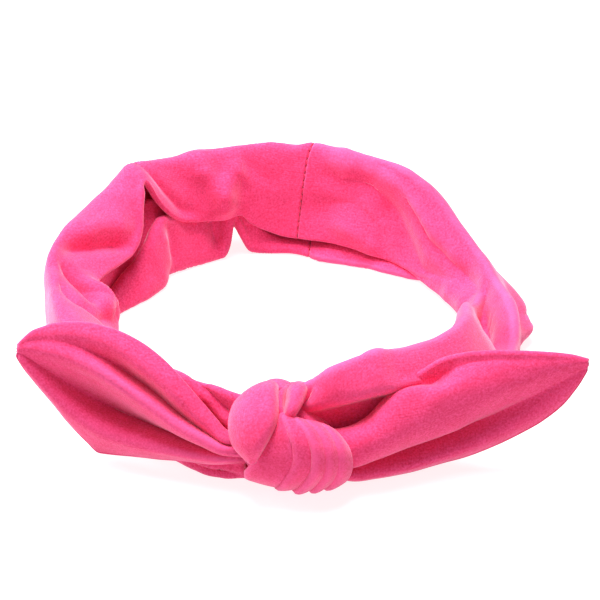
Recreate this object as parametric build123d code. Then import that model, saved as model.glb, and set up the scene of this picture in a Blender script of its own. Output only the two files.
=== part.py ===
from build123d import *
import math
import os

# A knotted stretch-knit headband lying on a flat surface. Millimetres, +Z up, +X to the right, -Y to the
# front. The origin is the centre of the footprint, on the surface. Shapes are laid out around the centre of
# the head opening: an angle of 0 points right, 90 to the back and 270 to the knot at the front.

# ---- driving dimensions -------------------------------------------------------------------------------
RING_CENTRE = (-2.85, -1.2)     # centre of the head opening, from the origin
PLY = 1.2                       # thickness of one layer of knit
PLY_GAP = 0.2                   # air between the two layers
THREAD = 0.8                    # thickness of the seam thread
THREAD_CLEARANCE = 0.4          # between thread and cloth
BACK_SEAM_ANGLE = 84.0          # where the two halves are sewn together
SEAM_HALF_ANGLE = 0.12          # half of the slit between the halves, in degrees
LAYER_MID = PLY + PLY_GAP / 2   # from the middle of the cloth to its outside
PRESSED = 0.1                   # how much its own weight flattens the cloth on the surface it lies on

# Cross-sections of the band, which is a flat tube folded over into a C that is open to the inside.
# Each row: angle, lip radius, lip height, top radius, top height, outer radius, base radius, toe radius.
LEFT_SECTIONS = [
    (BACK_SEAM_ANGLE + SEAM_HALF_ANGLE, 69, 8, 83, 42, 89, 85, 73),
    (95, 69, 10, 83, 42, 89, 86, 74),
    (105, 72, 16, 83, 42, 89, 86, 76),
    (115, 74, 18, 83, 41, 89, 86, 74),
    (125, 74, 24, 84, 41, 89, 86, 73),
    (134, 76, 30, 85, 42, 89, 86, 71),
    (145, 68, 25, 85, 38, 89, 86, 67),
    (158, 67, 22, 85, 36, 89, 86, 68),
    (170, 65, 17, 84, 34, 89, 86, 68),
    (182, 63, 12, 83, 30, 88, 85, 67),
    (196, 64, 10, 80, 30, 86, 83, 67),
    (210, 65, 10, 77, 31, 83, 80, 67),
    (224, 65, 10, 73, 32, 78, 76, 66),
    (236, 64, 10, 70, 33, 75, 74, 65),
    (246, 63, 10, 69, 33, 73, 72, 64),
    (255, 63, 11, 68, 30, 71, 70, 64),
]
RIGHT_SECTIONS = [
    (BACK_SEAM_ANGLE - SEAM_HALF_ANGLE, 69, 8, 83, 42, 89, 85, 73),
    (75, 69.5, 6, 82, 41, 88, 85, 71),
    (60, 69.5, 5.5, 80, 39, 87, 84, 71),
    (48, 69, 5.5, 80, 34, 86, 84, 70),
    (38, 68, 6, 79, 27, 86, 86, 70),
    (28, 68, 7, 78, 22, 86, 88, 69),
    (16, 67, 8, 77, 19, 85, 88, 68),
    (5, 64, 8, 75, 21, 82, 85, 66),
    (-6, 61, 8, 69, 27, 80, 80, 63),
    (-17, 60, 8, 64, 34, 77, 79, 62),
    (-30, 60, 8, 65, 37, 76, 79, 62),
    (-42, 61, 8, 67, 38, 75, 78, 63),
    (-54, 61, 9, 67, 38, 73, 76, 63),
    (-64, 62, 10, 66, 38, 71, 73, 64),
    (-72.5, 62, 12, 65, 36, 69, 70, 63),
]
TOP_HALF_WIDTH = 3.0            # half the width of the fold along the top of the band
TOP_DROP = 1.5                  # its rounding
CREST_HEIGHT = 0.72             # where the outer wall begins, as a part of the top's height
FOOT_HEIGHT = 0.28              # where the outer wall turns in to the base

# Knot: an upright rounded lump, its wraps lying on a core. Each row: height, half width, half depth.
KNOT_CENTRE = (1.5, -72.0)
KNOT_LEVELS = [
    (1.0, 12.0, 8.5),
    (4.0, 16.5, 12.0),
    (10.0, 19.0, 14.5),
    (16.0, 19.5, 16.0),
    (22.0, 19.0, 15.0),
    (28.0, 16.5, 12.5),
    (33.0, 12.0, 10.0),
    (36.5, 7.5, 7.0),
]
WRAP_THICKNESS = 3.2
WRAP_CLEARANCE = 0.5
CORE_TOP = 32.6
CORE_SIDES = 20
WRAP_STEPS = 8
# The spans of each wrap around the knot. Each row: height, first angle, last angle.
RIGHT_WRAP_SPANS = [(1.0, 226, 318), (4.0, 226, 322), (10.0, 228, 338), (16.0, 233, 346),
                    (22.0, 244, 344), (28.0, 256, 322), (33.0, 263, 284)]
LEFT_TURN_SPANS = [(16.0, 222, 230), (22.0, 196, 241), (28.0, 184, 253), (33.0, 180, 260),
                   (36.5, 182, 258)]
BACK_TURN_SPANS = [(1.0, 24, 158), (4.0, 24, 158), (10.0, 24, 158), (16.0, 24, 158), (22.0, 24, 158),
                   (28.0, 26, 156), (32.0, 30, 150)]
TOP_ROLL_X = (1.2, 9.4)         # from left to right
TOP_ROLL_Y = (-77.0, -65.0)     # from front to back
TOP_ROLL_Z = (33.2, 37.2)
TOP_ROLL_EDGE = 1.2             # its rounding

# Ears: each row is a slice at one x, as four (y, z) points from the lower edge to the upper edge.
LEFT_EAR_SLICES = [
    (-23, [(-75.5, 9), (-78, 13), (-77, 17), (-74.5, 21)]),
    (-28, [(-73, 6), (-77, 14), (-75, 21), (-70.5, 29)]),
    (-36, [(-71, 5), (-76, 17), (-71, 27), (-67, 37)]),
    (-48, [(-67, 4), (-72, 18), (-66, 32), (-61, 45)]),
    (-60, [(-62, 4), (-68, 20), (-62, 35), (-56, 48)]),
    (-68, [(-60, 12), (-66, 26), (-60, 38), (-54, 48)]),
    (-78, [(-58, 26), (-61, 34), (-58, 41), (-54, 47)]),
    (-87, [(-58, 38), (-58, 40), (-57, 42), (-56, 44)]),
]
RIGHT_EAR_SLICES = [
    (25, [(-75.5, 5), (-78.5, 11), (-77, 18), (-75, 23)]),
    (30, [(-74, 3), (-78, 13), (-75, 23), (-72, 30)]),
    (38, [(-71, 2), (-76, 14), (-72.5, 24), (-68, 32)]),
    (48, [(-68, 2.5), (-73, 14), (-69, 26), (-62, 35)]),
    (58, [(-65, 4.5), (-71, 17), (-67, 29), (-60, 38)]),
    (70, [(-63, 9), (-69, 20), (-66, 31), (-60, 40)]),
    (84, [(-62, 19), (-66, 27), (-65, 35), (-62.5, 41.5)]),
    (95, [(-63, 36), (-64, 38), (-64, 40), (-64.5, 42.5)]),
]

# Stitches of the back seam
STITCH_LENGTH = 3.0             # across the seam
STITCH_WIDTH = 0.7
STITCH_HEIGHT = 0.4
STITCH_PITCH = 3.4              # along the seam
STITCH_MARGIN = 3.0             # from the first stitch to the lip


# ---- helpers ------------------------------------------------------------------------------------------
def loft_through(outlines):
    """A closed solid that joins closed outlines, all with the same number of points, by straight lines."""
    return Solid.make_loft([Wire.make_polygon(outline, close=True) for outline in outlines], ruled=True)


def ring_point(angle, radius, height):
    """A point from its angle, radius and height about the centre of the head opening."""
    turn = math.radians(angle)
    return Vector(radius * math.cos(turn), radius * math.sin(turn), height)


def section_path(row):
    """The middle line of the folded cloth, from the upper lip over the top and under to the toe."""
    angle, lip_r, lip_z, top_r, top_z, outer_r, base_r, toe_r = row
    top_z = top_z - LAYER_MID
    inner_top = (top_r - TOP_HALF_WIDTH, top_z - TOP_DROP)
    outer_top = (top_r + TOP_HALF_WIDTH, top_z - TOP_DROP)
    half_way = ((lip_r + inner_top[0]) / 2 + 1, (lip_z + inner_top[1]) / 2)
    return [(lip_r, lip_z), half_way, inner_top, (top_r, top_z), outer_top,
            (outer_r, top_z * CREST_HEIGHT), (outer_r, top_z * FOOT_HEIGHT),
            (base_r, LAYER_MID - PRESSED), (toe_r, LAYER_MID - PRESSED)]


def side_normals(path):
    """The unit normal of each stretch of a path, to the left of its direction of travel."""
    normals = []
    for (r0, z0), (r1, z1) in zip(path, path[1:]):
        length = math.hypot(r1 - r0, z1 - z0)
        normals.append((-(z1 - z0) / length, (r1 - r0) / length))
    return normals


def offset_path(path, distance):
    """The path moved sideways to its left by a distance, with mitred corners."""
    normals = side_normals(path)
    moved = []
    for i, (r, z) in enumerate(path):
        n0 = normals[max(i - 1, 0)]
        n1 = normals[min(i, len(normals) - 1)]
        scale = distance / (1 + n0[0] * n1[0] + n0[1] * n1[1])
        moved.append((r + (n0[0] + n1[0]) * scale, z + (n0[1] + n1[1]) * scale))
    return moved


def point_along(path, distance):
    """The point, direction and left normal at a distance along a path."""
    for (a, b), normal in zip(zip(path, path[1:]), side_normals(path)):
        length = math.dist(a, b)
        if distance <= length:
            part = distance / length
            place = (a[0] + (b[0] - a[0]) * part, a[1] + (b[1] - a[1]) * part)
            return place, ((b[0] - a[0]) / length, (b[1] - a[1]) / length), normal
        distance -= length
    raise ValueError("distance is past the end of the path")


# ---- band ---------------------------------------------------------------------------------------------
def band_ply(rows, near, far):
    """One layer of half the band, between two distances from the middle of the cloth."""
    outlines = []
    for row in rows:
        path = section_path(row)
        outline = offset_path(path, near) + offset_path(path, far)[::-1]
        outlines.append([ring_point(row[0], r, z) for r, z in outline])
    return split(loft_through(outlines), bisect_by=Plane.XY, keep=Keep.TOP)


def thread_along(points):
    """A thin round thread through a row of points."""
    path = Polyline(*points)
    section = Plane(origin=path @ 0, z_dir=path % 0) * Circle(THREAD / 2)
    return sweep(section, path=path, transition=Transition.RIGHT)


def band_edge_thread(rows, end, neighbour):
    """The seam thread along one long edge of the band, just past the end of the cloth."""
    points = []
    for row in rows:
        path = section_path(row)
        tip = Vector(*path[end])
        outward = (tip - Vector(*path[neighbour])).normalized()
        place = tip + outward * (THREAD / 2 + THREAD_CLEARANCE)
        points.append(ring_point(row[0], place.X, place.Y))
    return thread_along(points)


def back_seam_stitches():
    """Short stitches across the back seam, on the outside of the cloth, from lip to toe."""
    path = section_path(LEFT_SECTIONS[0])
    total = sum(math.dist(a, b) for a, b in zip(path, path[1:]))
    stitches = []
    reach = STITCH_MARGIN
    while reach < total - STITCH_MARGIN:
        (r, z), along, normal = point_along(path, reach)
        lift = LAYER_MID + THREAD_CLEARANCE + STITCH_HEIGHT / 2
        if z > 2 * LAYER_MID:
            place = ring_point(BACK_SEAM_ANGLE, r + normal[0] * lift, z + normal[1] * lift)
            across = ring_point(BACK_SEAM_ANGLE + 90, 1, 0)
            outward = ring_point(BACK_SEAM_ANGLE, normal[0], normal[1])
            stitch_plane = Plane(origin=place, x_dir=across, z_dir=outward)
            stitches.append(stitch_plane * Box(STITCH_LENGTH, STITCH_WIDTH, STITCH_HEIGHT))
        reach += STITCH_PITCH
    return Compound(stitches)


# ---- knot ---------------------------------------------------------------------------------------------
def knot_size(height):
    """Half width and half depth of the knot at a height."""
    for (z0, a0, b0), (z1, a1, b1) in zip(KNOT_LEVELS, KNOT_LEVELS[1:]):
        if height <= z1:
            part = (height - z0) / (z1 - z0)
            return a0 + (a1 - a0) * part, b0 + (b1 - b0) * part
    return KNOT_LEVELS[-1][1:]


def knot_point(angle, height, depth):
    """A point at a depth under the knot's skin."""
    half_width, half_depth = knot_size(height)
    turn = math.radians(angle)
    x = KNOT_CENTRE[0] + (half_width - depth) * math.cos(turn)
    y = KNOT_CENTRE[1] + (half_depth - depth) * math.sin(turn)
    return Vector(x, y, height)


def knot_wrap(spans):
    """A strap that lies on the knot's core, given as its span of angles at each height."""
    outlines = []
    for height, first, last in spans:
        angles = [first + (last - first) * i / WRAP_STEPS for i in range(WRAP_STEPS + 1)]
        outer = [knot_point(angle, height, 0) for angle in angles]
        inner = [knot_point(angle, height, WRAP_THICKNESS) for angle in reversed(angles)]
        outlines.append(outer + inner)
    return loft_through(outlines)


def knot_core():
    """The cloth that is crossed over inside the knot."""
    depth = WRAP_THICKNESS + WRAP_CLEARANCE
    heights = [level[0] for level in KNOT_LEVELS if level[0] < CORE_TOP] + [CORE_TOP]
    outlines = []
    for height in heights:
        angles = [360 * i / CORE_SIDES for i in range(CORE_SIDES)]
        outlines.append([knot_point(angle, height, depth) for angle in angles])
    return loft_through(outlines)


def knot_top_roll():
    """The small roll of cloth that shows between the two wraps on top of the knot."""
    (x0, x1), (y0, y1), (z0, z1) = TOP_ROLL_X, TOP_ROLL_Y, TOP_ROLL_Z
    e = TOP_ROLL_EDGE
    outlines = []
    for y, inset in ((y0, e), (y0 + e, 0), (y1 - e, 0), (y1, e)):
        left, right, top = x0 + inset, x1 - inset, z1 - inset
        outlines.append([Vector(left, y, z0), Vector(right, y, z0), Vector(right, y, top - e),
                         Vector(right - e, y, top), Vector(left + e, y, top), Vector(left, y, top - e)])
    return loft_through(outlines)


# ---- ears ---------------------------------------------------------------------------------------------
def ear_ply(slices, near, far):
    """One layer of an ear, between two distances behind the middle of the cloth."""
    outlines = []
    for x, points in slices:
        near_side = [Vector(x, y + near, z) for y, z in points]
        far_side = [Vector(x, y + far, z) for y, z in reversed(points)]
        outlines.append(near_side + far_side)
    return loft_through(outlines)


def ear_edge_thread(slices):
    """The seam thread along the upper edge of an ear."""
    points = []
    for x, outline in slices:
        y, z = outline[-1]
        points.append(Vector(x, y, z + THREAD / 2 + THREAD_CLEARANCE))
    return thread_along(points)


# ---- the assembly -------------------------------------------------------------------------------------
OUTSIDE = (PLY_GAP / 2, LAYER_MID)
INSIDE = (-PLY_GAP / 2, -LAYER_MID)

nodes = {
    "knot_core": knot_core(),
    "knot_right_wrap": knot_wrap(RIGHT_WRAP_SPANS),
    "knot_left_turn": knot_wrap(LEFT_TURN_SPANS),
    "knot_back_turn": knot_wrap(BACK_TURN_SPANS),
    "knot_top_roll": knot_top_roll(),
    "back_seam_thread": back_seam_stitches(),
}
for side, rows in (("left", LEFT_SECTIONS), ("right", RIGHT_SECTIONS)):
    nodes[f"band_{side}_outer_ply"] = band_ply(rows, *OUTSIDE)
    nodes[f"band_{side}_inner_ply"] = band_ply(rows, *INSIDE)
    lip_thread = band_edge_thread(rows, end=0, neighbour=1)
    toe_thread = band_edge_thread(rows, end=-1, neighbour=-2)
    nodes[f"band_{side}_edge_thread"] = Compound([lip_thread, toe_thread])
for side, slices in (("left", LEFT_EAR_SLICES), ("right", RIGHT_EAR_SLICES)):
    nodes[f"{side}_ear_front_ply"] = ear_ply(slices, *INSIDE)
    nodes[f"{side}_ear_back_ply"] = ear_ply(slices, *OUTSIDE)
    nodes[f"{side}_ear_edge_thread"] = ear_edge_thread(slices)

os.makedirs("parts", exist_ok=True)
for name, shape in nodes.items():
    export_step(Pos(*RING_CENTRE, 0) * shape, f"parts/{name}.step")
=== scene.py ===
"""Looks of the knotted stretch-knit headband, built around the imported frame."""
import math

import bpy
import numpy as np
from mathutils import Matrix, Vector


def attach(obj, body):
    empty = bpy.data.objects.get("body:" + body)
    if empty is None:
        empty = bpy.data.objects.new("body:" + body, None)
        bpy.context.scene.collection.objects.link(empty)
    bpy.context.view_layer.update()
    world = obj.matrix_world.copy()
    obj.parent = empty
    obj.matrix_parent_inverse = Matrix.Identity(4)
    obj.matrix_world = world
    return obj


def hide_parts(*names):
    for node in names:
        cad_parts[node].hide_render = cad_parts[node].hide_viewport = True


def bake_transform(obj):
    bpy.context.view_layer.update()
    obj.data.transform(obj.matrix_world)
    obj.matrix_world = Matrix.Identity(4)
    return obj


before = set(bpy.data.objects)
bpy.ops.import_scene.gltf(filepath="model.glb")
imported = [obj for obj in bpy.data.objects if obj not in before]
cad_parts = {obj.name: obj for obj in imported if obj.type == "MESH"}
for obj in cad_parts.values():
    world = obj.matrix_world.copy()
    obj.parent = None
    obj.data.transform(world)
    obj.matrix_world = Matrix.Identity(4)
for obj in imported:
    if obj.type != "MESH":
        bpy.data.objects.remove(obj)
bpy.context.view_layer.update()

# ---- driving dimensions (millimetres, and degrees around the ring) ---------
MM = 0.001
RING_CENTRE = (-2.85, -1.2)     # centre of the head opening, from the frame's origin
FLOOR_GAP = 0.05                # cloth rests this far above the floor

PLY = 1.15                      # one layer of knit
PLY_GAP = 0.1                   # between the two layers
RIM = 1.3                       # rounding of a free edge
SEAM_RIM = 0.7                  # rounding of the cloth into the back seam
INSET = 0.5                     # how far the covered layer stays back from a lapped edge
EDGE_KEPT = 0.02                # the part of its thickness that the cloth keeps at its very edge
CROWDING = 0.7                  # how much closer together a mesh's rows lie near the cloth's edges
LINE_STEPS = 16                 # samples between two lines of the tables below

BACK_SEAM = 84.0                # angle of the centre-back seam
SEAM_SLANT = 4.0                # how far the seam has turned where it reaches the lip, in degrees
SEAM_SPREAD = 9.0               # how far that slant spreads along the band, in degrees
LEFT_END = 259.0                # where the band goes into the knot
RIGHT_END = -87.0
MAP_RADIUS = 78.0               # the ring's radius in the band's flat cloth map
BAND_ROWS = 165                 # points across the band, from one edge of the cloth to the other
BAND_STEP = 0.75                # degrees between columns of the band's mesh
NOTCH_STEP = 0.25               # the same, in the span round the notch in the lower edge
NOTCH_SPAN = (99, 113)
SEAM_COLUMNS = (0.03, 0.08, 0.16, 0.28, 0.45, 0.6)   # extra columns beside the back seam, in degrees

FOLD_SPOTS = 40                 # places along a fold's path at which it is pressed in
FOLD_FADE = 0.25                # the part of its path over which it fades in and out
FOLD_ENDS = 0.3                 # how much of it is left at the path's ends

WIDE_WAVE = 17                  # sizes of the soft uneven waves that all the cloth has
FINE_WAVE = 6
BAND_WAVES = (0.45, 0.16)       # how high the wide and the fine waves stand
EAR_WAVES = (0.5, 0.14)
KNOT_WAVES = (0.3, 0.12)
HASH_WEIGHTS = (12.9898, 78.233, 37.719)   # arbitrary numbers that scatter the noise
HASH_SEED = 4.137
HASH_SCALE = 43758.5453

EAR_COLUMNS = 130               # points along an ear
EAR_ROWS = 140                  # points across it
TIP_CROWDING = 0.35             # how much closer together its columns lie toward the tip

# The band's middle surface, between its two layers, as named lines that run around the ring. Each point
# is (angle, radius, height): an angle of 0 is on the right, 90 at the back, 180 left, 270 at the knot.
BAND_LINES = {
    "lip": [
        (-87, 64, 13), (-75, 63.5, 11), (-66, 63, 9), (-55, 62, 8), (-40, 61.5, 7), (-25, 60.8, 6),
        (-12, 60.8, 6), (-3, 61, 5), (5, 62.5, 4), (12, 66, 2.5), (18, 67.5, 1.8), (25, 68.3, 1.6),
        (38, 68.5, 1.6), (44, 69, 2), (50, 70, 3.5), (56, 70.3, 4.2), (64, 70.8, 5), (74, 70.5, 6.6),
        (80, 70.7, 7.1), (84, 71.9, 7), (90, 72.7, 7.6), (97, 73.7, 10), (102, 74.6, 13.4),
        (105, 75.4, 17), (110, 75.6, 17.3), (117, 75, 17.7), (123, 74, 20), (128, 74, 25),
        (131.5, 75, 32), (134.5, 77, 41), (137, 74, 40), (139.5, 71.5, 35), (142, 69, 29),
        (146, 67.5, 24), (150, 67.5, 21.5), (156, 68, 21.5), (163, 69.5, 22), (168, 70.5, 22),
        (172, 67, 19), (176, 62.5, 13), (182, 61.5, 11), (200, 63, 10), (240, 64, 9), (259, 65, 11)],
    "inner_low": [
        (-87, 64.5, 18), (-75, 64.5, 20), (-66, 64, 20), (-40, 61.8, 18), (-12, 60.3, 17),
        (-3, 60.8, 15), (5, 62.3, 13), (13, 66.5, 8), (20, 68.5, 5.5), (28, 69.5, 5), (38, 69.5, 5),
        (44, 70, 4), (51, 70.3, 5), (60, 71.5, 9), (68, 72.5, 13), (75, 74, 15.5), (84, 74.4, 16.4),
        (97, 75.4, 18.2), (105, 76, 24), (113, 76.5, 23.5), (120, 76, 24.5), (128, 76.5, 30.5),
        (134.5, 79, 42), (139, 75, 37.5), (144, 71.5, 28), (150, 71, 24.8), (158, 71.5, 24.5),
        (168, 73.5, 24.5), (175, 66.5, 18), (182, 64, 15), (215, 65.5, 15), (240, 64.5, 16),
        (259, 65, 16)],
    "first_ridge": [
        (-87, 65, 23), (-75, 65, 28), (-66, 65.5, 31), (-40, 64, 29), (-12, 60.6, 22.5),
        (-3, 60.8, 17.5), (5, 62.3, 13.8), (13, 67.5, 10.6), (20, 69.5, 8), (28, 70.5, 7), (38, 70, 6),
        (46, 69.8, 4.5), (51, 71, 6), (60, 72.2, 14.5), (68, 73.2, 23), (75, 74.3, 24.5), (84, 76, 25),
        (97, 76.5, 26), (105, 78, 29.5), (113, 78.3, 29), (120, 78, 30), (128, 78.5, 35),
        (134.5, 81, 43), (139, 77.5, 39), (144, 74.5, 31.5), (150, 74.5, 28), (158, 75, 27.5),
        (168, 76.5, 26.5), (175, 70, 22), (182, 66.5, 20.5), (215, 67, 20), (240, 65.5, 21),
        (259, 66, 20)],
    "first_valley": [
        (-87, 65.5, 29), (-79, 67, 36), (-75, 67, 37), (-66, 66.5, 38.5), (-40, 66, 34),
        (-25, 63.5, 31.5), (-12, 61, 27), (-3, 61, 20.8), (5, 63, 15.8), (13, 68.5, 12.2),
        (20, 71, 10), (28, 72, 9.5), (38, 71, 7.5), (43, 71, 6.5), (49, 73.6, 12), (55, 76.6, 19),
        (61, 79.4, 25.5), (67, 81.2, 30.5), (75, 80, 32), (84, 78, 32), (97, 78.5, 33),
        (105, 79.5, 34.5), (113, 80, 34), (120, 80, 34.5), (128, 80.5, 38.5), (134.5, 82.5, 43.5),
        (139, 79.5, 40.3), (144, 77.5, 34.5), (150, 78, 31), (158, 78.5, 30), (168, 79.5, 29),
        (175, 74.5, 24), (182, 71, 24.5), (215, 69, 24.5), (240, 66.5, 26), (259, 67, 24)],
    "second_ridge": [
        (-87, 66.5, 32), (-82, 67.5, 35.5), (-79, 69, 39), (-75, 68.5, 40.5), (-70, 67.5, 41.5),
        (-66, 68, 43), (-61, 67.3, 40.5), (-53, 67.5, 38.8), (-40, 68, 37.5), (-33, 67.5, 36.4),
        (-25, 66, 34.5), (-12, 62.5, 29.6), (-3, 62, 23.4), (5, 64, 17), (13, 69.8, 13.2),
        (20, 73.5, 12.6), (27, 74, 13.5), (35, 72.2, 17), (43, 72.2, 22), (51, 73.8, 29),
        (58, 76.8, 34.6), (66, 79.3, 37), (75, 79.8, 38), (84, 80, 38), (97, 80, 38.5),
        (105, 80.5, 38.5), (113, 81, 38), (120, 81.5, 38.5), (128, 82.5, 41), (134.5, 84, 44),
        (139, 81.5, 41.3), (144, 80.5, 36.8), (150, 81, 34), (158, 81.5, 32.5), (168, 82, 31.5),
        (175, 78.5, 26.5), (182, 75.5, 28), (215, 71.5, 28.5), (240, 67.8, 30), (259, 68, 27)],
    "second_valley": [
        (-87, 72, 28.5), (-78, 73.5, 31), (-67, 76, 34), (-57, 77.5, 34), (-50, 77, 31.5),
        (-40, 77.5, 28.5), (-28, 77.5, 23), (-16, 74, 14.5), (-8, 70.5, 9), (0, 69, 8), (10, 70.5, 9),
        (15, 74, 12), (20, 76, 16.5), (27, 77, 17.5), (35, 76.3, 21.2), (43, 77, 26), (51, 78, 32.2),
        (58, 79.6, 37), (66, 81.5, 39), (75, 81.8, 40.5), (84, 81.5, 41), (105, 81.3, 40.8),
        (120, 82.3, 40.7), (128, 83.8, 42.3), (134.5, 85, 44), (139, 83.5, 41.6), (144, 83, 38),
        (150, 83.2, 36), (158, 83.8, 34.5), (168, 84.2, 33.5), (175, 81.3, 28.5), (182, 79, 30),
        (215, 74, 30.5), (240, 69, 32.3), (259, 69, 28.5)],
    "crest": [
        (-87, 70.5, 24.5), (-78, 70, 26.3), (-67, 71, 28), (-57, 75, 28), (-50, 77, 24), (-40, 79, 19),
        (-20, 80, 16), (-10, 79.5, 14.5), (-3, 79.5, 17.5), (5, 79, 19), (15, 78, 18), (28, 79, 20.5),
        (38, 79.5, 26), (46, 81, 31), (52, 81, 35.5), (59, 81, 38.8), (68, 81.8, 39.5),
        (77, 82.5, 40.5), (82, 83, 42), (84, 83, 42.2), (88, 83, 41), (97, 83, 42.5), (104, 83, 42),
        (120, 84, 41.5), (128, 85.3, 42.5), (134, 86.8, 43.8), (138, 86, 41.5), (143, 85.5, 38.5),
        (148, 85.3, 37), (158, 85.8, 35), (166, 86.3, 35), (170, 86, 34), (175, 84, 31), (182, 82, 31),
        (200, 80, 30), (215, 76.5, 31), (230, 72.5, 32), (240, 70.5, 33), (249, 70, 31.5),
        (259, 70, 28)],
    "shoulder": [
        (-87, 70, 18.5), (-78, 70, 20), (-67, 72, 20), (-57, 75.5, 18), (-50, 78, 16),
        (-40, 79.5, 12.5), (-20, 80.5, 11), (-3, 80.5, 13), (5, 80.5, 16), (15, 80.5, 15),
        (28, 82, 17), (38, 82.5, 22.5), (50, 84, 32), (59, 84.5, 35), (77, 86, 37), (84, 86.3, 38),
        (104, 86.5, 38), (120, 87, 37.5), (134, 88.8, 39), (143, 88.3, 34.5), (158, 88, 31.5),
        (168, 88, 30), (182, 83.8, 27), (200, 81.5, 26), (215, 78.5, 27), (230, 74.5, 28),
        (240, 72.5, 28.5), (259, 71, 24)],
    "wall_high": [
        (-87, 69.5, 12), (-75, 72, 12), (-57, 76.5, 10), (-40, 78.5, 7), (-20, 80.3, 8), (0, 81, 10.5),
        (15, 82.5, 11), (28, 84.5, 13), (38, 85, 17), (50, 86.5, 24), (65, 87.5, 26), (84, 88.7, 27),
        (120, 89, 26), (134, 90, 27), (150, 89.5, 23), (168, 88.7, 21), (182, 84.5, 20),
        (200, 82.3, 19), (215, 79.5, 19), (230, 76.5, 18), (245, 75.5, 15), (259, 75, 12)],
    "wall_low": [
        (-87, 69.5, 6), (-75, 72, 5), (-40, 78, 4.5), (-20, 79.5, 5), (-8, 80, 6), (-2, 80.5, 6.5),
        (3, 84, 6.4), (7, 88.4, 6.3), (12, 89, 6.3), (19, 88.6, 6.5), (26, 88.2, 7), (38, 86.3, 10),
        (50, 87.5, 12), (84, 89.2, 12), (98, 89.4, 12.5), (104.5, 89.6, 14.5), (111, 89.5, 12),
        (120, 89.5, 11), (134, 90.3, 11), (150, 89.8, 10), (168, 88.5, 9), (182, 84.8, 9),
        (200, 82.5, 9), (215, 79.6, 8), (230, 76.4, 7), (239, 75.2, 6.6), (245, 76.4, 5.4),
        (252, 77.4, 4.4), (259, 76, 4.5)],
    "foot_outer": [
        (-87, 68, 2), (-75, 69.5, 1.6), (-40, 76, 1.4), (-8, 78, 1.4), (0, 79.5, 1.5), (7, 83, 1.5),
        (15, 86.5, 1.5), (28, 86, 1.6), (38, 83.5, 1.6), (60, 84, 1.6), (84, 85.3, 1.7), (98, 86, 2),
        (101.5, 87, 5.5), (104.5, 88, 10), (107.5, 87, 5.5), (111, 86, 2), (134, 86.5, 1.6),
        (165, 85.5, 1.6), (182, 82.5, 1.6), (200, 80, 1.5), (215, 77, 1.5), (230, 73.6, 1.5),
        (239, 72.8, 1.5), (245, 74.4, 1.4), (250, 76.2, 1.4), (254, 76.2, 1.4), (259, 74.2, 1.6)],
    "foot_inner": [
        (-87, 66, 2), (-75, 66, 1.4), (-10, 66, 1.4), (5, 69, 1.4), (15, 72, 1.4), (43, 73, 1.4),
        (50, 69.2, 1.4), (62, 67.2, 1.4), (75, 66.4, 1.4), (80, 66.6, 1.5), (84, 69, 1.4),
        (89, 71.4, 1.4), (97, 73, 1.5), (101.5, 74.5, 1.8), (104.2, 75.2, 8), (106.8, 76.5, 15.5),
        (109, 75.6, 8), (111.5, 73.8, 1.8), (118, 73, 1.4), (131, 73.2, 1.4), (134, 69.5, 1.4),
        (137, 67.2, 1.4), (144, 66.2, 1.4), (150, 67.5, 1.4), (158, 70, 1.4), (182, 68.5, 1.4),
        (220, 67, 1.4), (259, 66, 1.6)],
    "rise": [
        (-87, 65.7, 4), (-75, 65.7, 3.5), (-10, 65.5, 2.6), (5, 69, 2.6), (15, 72, 2.6),
        (44, 73.7, 2.6), (50, 70, 2.4), (62, 69, 2.6), (75, 68.6, 2.8), (84, 71.2, 3.3), (97, 74, 3.9),
        (101.5, 75.6, 7), (104.2, 76.8, 12), (106.8, 77.3, 17.3), (109, 76.6, 13), (111.5, 75.6, 9.5),
        (122, 74, 10), (131, 72.5, 12), (137, 68, 9.5), (144, 68, 7.5), (150, 69.5, 6),
        (158, 71.5, 4.5), (182, 68.5, 3.2), (220, 66.8, 3.2), (259, 65.7, 3.8)],
    "toe": [
        (-87, 66, 7), (-75, 66, 6), (-40, 65.5, 5), (-10, 66, 5), (5, 70, 4.5), (15, 73, 4),
        (44, 74.5, 4), (52, 72.3, 3.6), (64, 73, 4.3), (75, 73, 5), (84, 73.6, 4.2), (89, 74.8, 4.6),
        (94, 75.6, 5.2), (98, 76.4, 7.6), (101.5, 77.5, 13), (106.8, 78.3, 18.6), (111, 79, 17.5),
        (116, 79, 18), (122, 77.5, 19.5), (127, 75.5, 23), (131, 74.5, 24.5), (134, 73.5, 22),
        (138, 71.5, 18.5), (143, 71.5, 14), (148, 72.5, 11), (155, 73, 7.5), (165, 73, 6),
        (175, 71, 5), (190, 68, 5), (220, 66.5, 5), (259, 65, 6)],
    "tuck": [
        (-87, 67.2, 7.4), (-75, 67.2, 6.4), (-40, 66.7, 5.4), (-10, 67.2, 5.4), (5, 71.2, 4.9),
        (15, 74.2, 4.4), (44, 75.7, 4.4), (52, 73.5, 4), (84, 74.8, 4.4), (94, 76.8, 5),
        (98, 77.6, 7.6), (106.8, 79.5, 18.8), (116, 80.2, 18.2), (122, 78.9, 19.4), (127, 77.4, 22),
        (131, 76.8, 22.8), (134, 75.9, 19.6), (138, 74.1, 15.6), (143, 74.1, 10.8), (148, 74.8, 7.4),
        (155, 75, 4.8), (165, 75, 5), (175, 72.4, 5.4), (190, 69.2, 5.4), (220, 67.7, 5.4),
        (259, 66.2, 6.4)],
    "inner_edge": [
        (-87, 68.2, 7.2), (-75, 68.2, 6.2), (-40, 67.7, 5.2), (-10, 68.2, 5.2), (5, 72.2, 4.7),
        (15, 75.2, 4.2), (44, 76.7, 4.2), (52, 74.5, 3.8), (84, 75.8, 4.2), (94, 77.8, 4.8),
        (98, 78.6, 7.4), (106.8, 80.5, 18.4), (116, 81.2, 17.8), (122, 81, 20.5), (127, 81.5, 26),
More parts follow.
